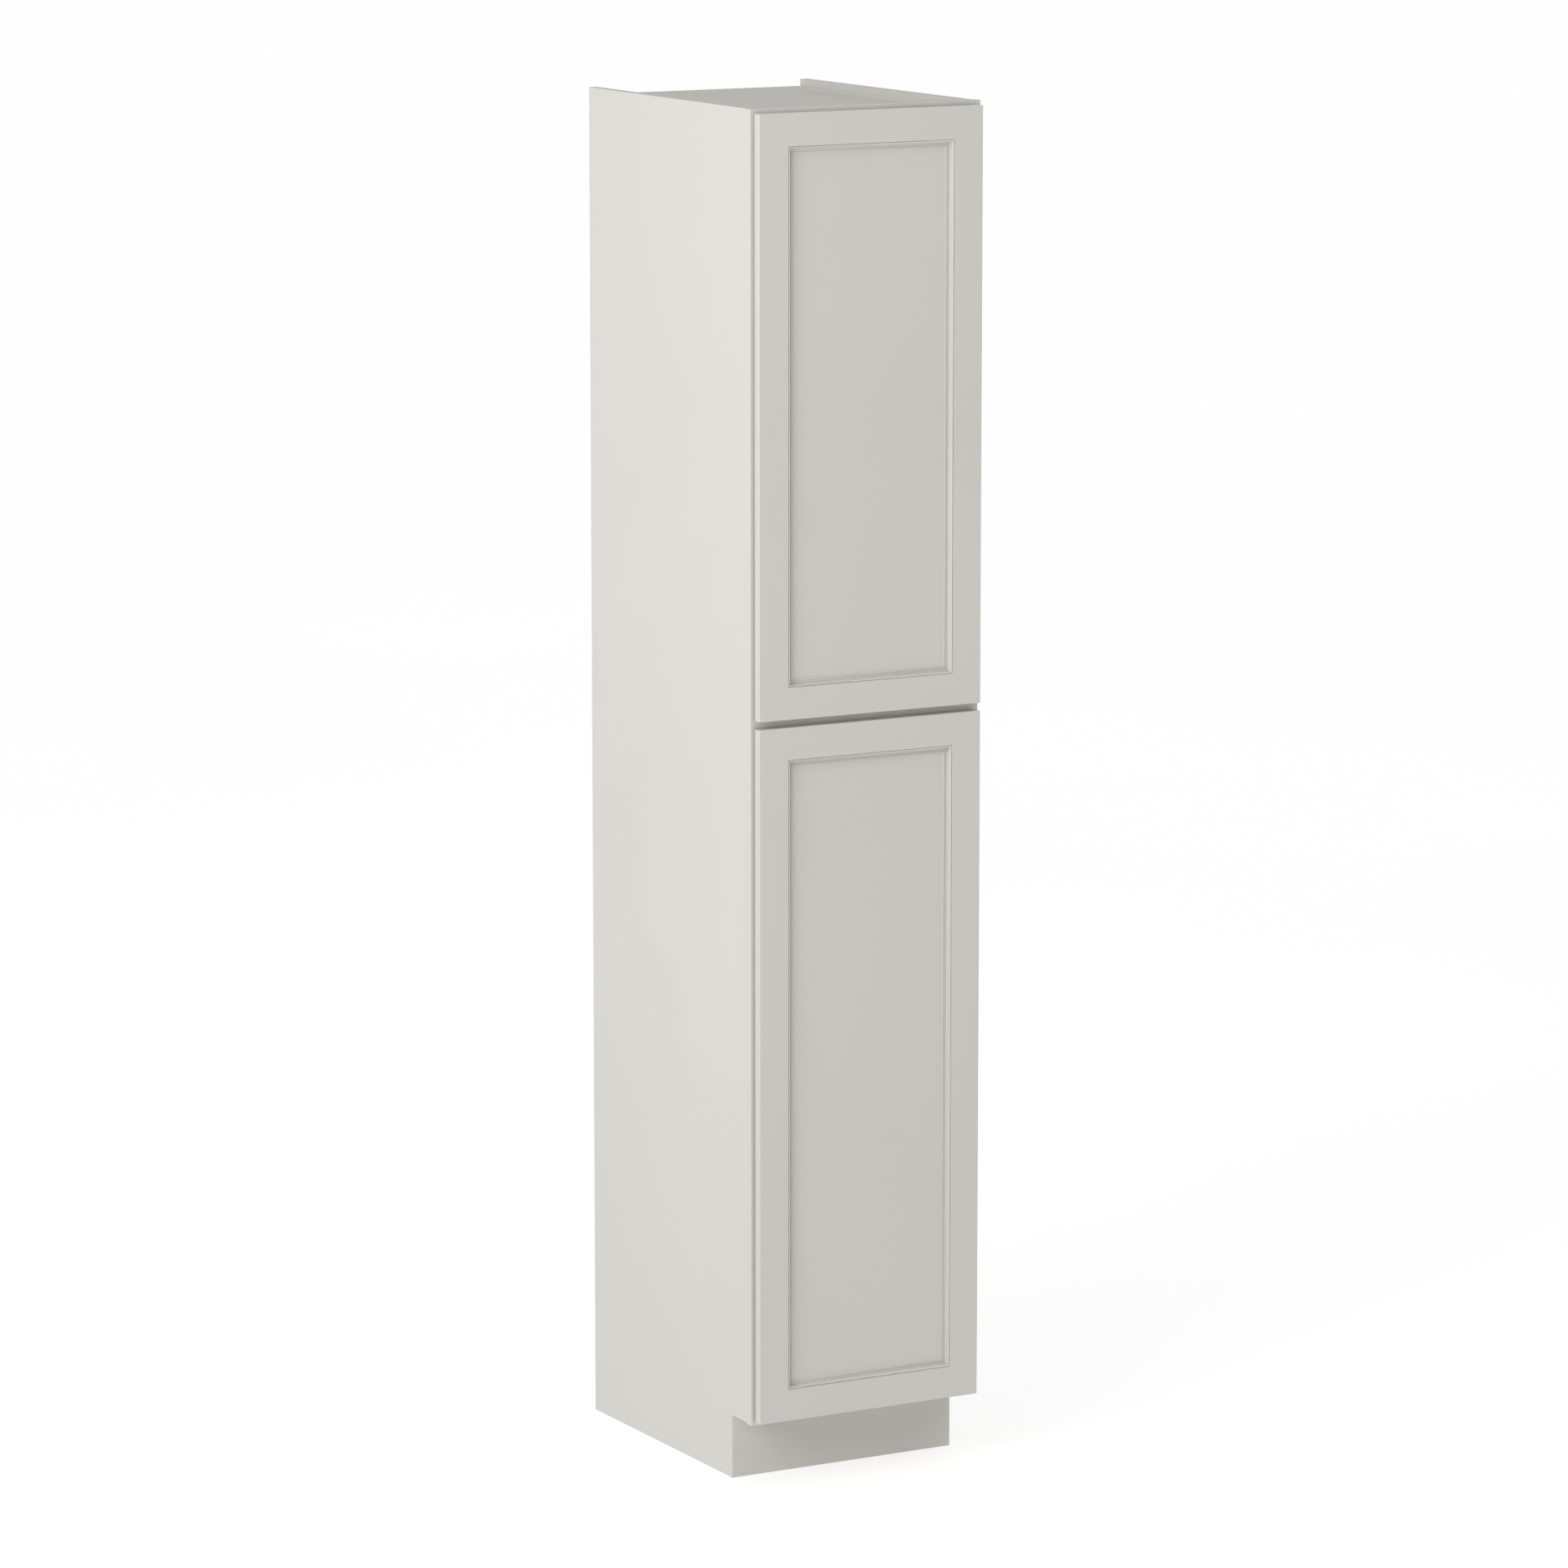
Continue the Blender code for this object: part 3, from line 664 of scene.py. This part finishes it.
def shelf_pin():
    """A peg along +Z and a thin collar set toward +X: up on the right side, down on the left."""
    peg_length, collar_radius, collar_thick = 0.016, 0.0034, 0.0012
    peg = start_rod("pin", (0, 0, 0.0005), PIN_RADIUS, peg_length, 16)
    collar = start_rod("collar", (0.0012, 0, 0.0008), collar_radius, collar_thick, 20)
    for part in (peg, collar):
        ease(part, 0.0003, 2)
    pin = join([peg, collar], "pin")
    smooth(pin, 40.0)
    return pin


def shelf_pins():
    """Plated pins, each with its collar against the side and its peg under the shelf."""
    spots = []
    for shelf in SHELVES:
        low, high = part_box(shelf)
        for side in (-1, 1):
            turn = (0.0, -side * math.pi / 2, 0.0)
            for depth in (low.y + PIN_INSET, high.y - PIN_INSET):
                spots.append(((side * side_in, depth, low.z - PIN_DROP), turn))
    finish_piece(copies(shelf_pin(), spots, "shelf_pins"), "cabinet", nickel)


def plain_hardware():
    """Steel for the hinges and nylon for the corner blocks, whose solids are kept as they are."""
    for name, node in nodes.items():
        if "hinge_" in name or "corner_block" in name:
            node.data.materials.clear()
            node.data.materials.append(nylon if "corner_block" in name else nickel)


# ---------------------------------------------------------------- the room


def sky():
    """A dim sky with a white band along the horizon, so the floor runs on into a white wall."""
    world = bpy.data.worlds.new("soft_studio")
    bpy.context.scene.world = world
    world.use_nodes = True
    tree = world.node_tree
    direction = tree.nodes.new("ShaderNodeTexCoord")
    split = tree.nodes.new("ShaderNodeSeparateXYZ")
    band = tree.nodes.new("ShaderNodeMapRange")
    band.inputs["From Min"].default_value = HORIZON_BAND[0]
    band.inputs["From Max"].default_value = HORIZON_BAND[1]
    band.inputs["To Min"].default_value = HORIZON_GLOW
    band.inputs["To Max"].default_value = SKY_GLOW
    tree.links.new(direction.outputs["Generated"], split.inputs["Vector"])
    tree.links.new(split.outputs["Z"], band.inputs["Value"])
    background = tree.nodes["Background"]
    background.inputs["Color"].default_value = (1.0, 1.0, 1.0, 1.0)
    tree.links.new(band.outputs["Result"], background.inputs["Strength"])


def studio():
    """A white floor with a faint glow of its own, a wide light overhead and a softbox to the left."""
    bpy.ops.object.select_all(action="DESELECT")
    bpy.ops.mesh.primitive_circle_add(vertices=96, radius=60.0, fill_type="NGON", location=(0, 0, 0))
    floor = settle("floor")
    look = Look("white_floor")
    shade = look.noise(look.place, 0.35, 2.0, 0.5)
    tones = [(0.3, (FLOOR_TONE - 0.005,) * 3), (0.7, (FLOOR_TONE + 0.005,) * 3)]
    look.join(look.ramp(shade, tones), look.shader.inputs["Base Color"])
    look.shader.inputs["Roughness"].default_value = 0.9
    look.shader.inputs["Specular IOR Level"].default_value = 0.1
    look.shader.inputs["Emission Color"].default_value = (1.0, 1.0, 1.0, 1.0)
    look.shader.inputs["Emission Strength"].default_value = FLOOR_GLOW
    floor.data.materials.append(look.material)
    sky()
    add_light("overhead", "SUN", (0.0, 0.0, 6.0), (0.0, 0.0, 0.0), OVERHEAD, angle=math.radians(100))
    aim = Vector((0.0, 0.0, 1.5)) - Vector(SOFTBOX_PLACE)
    turn = aim.to_track_quat("-Z", "Y").to_euler()
    add_light("left_softbox", "AREA", SOFTBOX_PLACE, turn, SOFTBOX_POWER, size=SOFTBOX_SIZE)
    bpy.context.scene.view_settings.view_transform = "Standard"


def add_light(name, kind, place, turn, energy, **settings):
    """One lamp that the camera does not see."""
    light = bpy.data.lights.new(name, kind)
    light.energy = energy
    for key, value in settings.items():
        setattr(light, key, value)
    made = bpy.data.objects.new(name, light)
    made.location = place
    made.rotation_euler = turn
    made.visible_camera = False
    bpy.context.scene.collection.objects.link(made)


def camera():
    """A camera that stands far off to the front left, above eye level, with a long lens."""
    lens = bpy.data.cameras.new("camera")
    lens.lens = CAMERA_LENS
    lens.sensor_width = 36.0
    lens.clip_end = 200.0
    made = bpy.data.objects.new("camera", lens)
    made.location = CAMERA_PLACE
    bearing, drop = math.radians(CAMERA_BEARING), math.radians(CAMERA_DROP)
    made.rotation_euler = (math.pi / 2 - drop, 0.0, -bearing)
    bpy.context.scene.collection.objects.link(made)
    bpy.context.scene.camera = made


# ---------------------------------------------------------------- the whole cabinet

cabinet_boards()
face_frame()
for door in DOORS:
    door_frame(door)
    door_bead(door)
    door_panel(door)
    bumpers(door)
    hinge_screws(door)
shelf_pins()
plain_hardware()
studio()
camera()
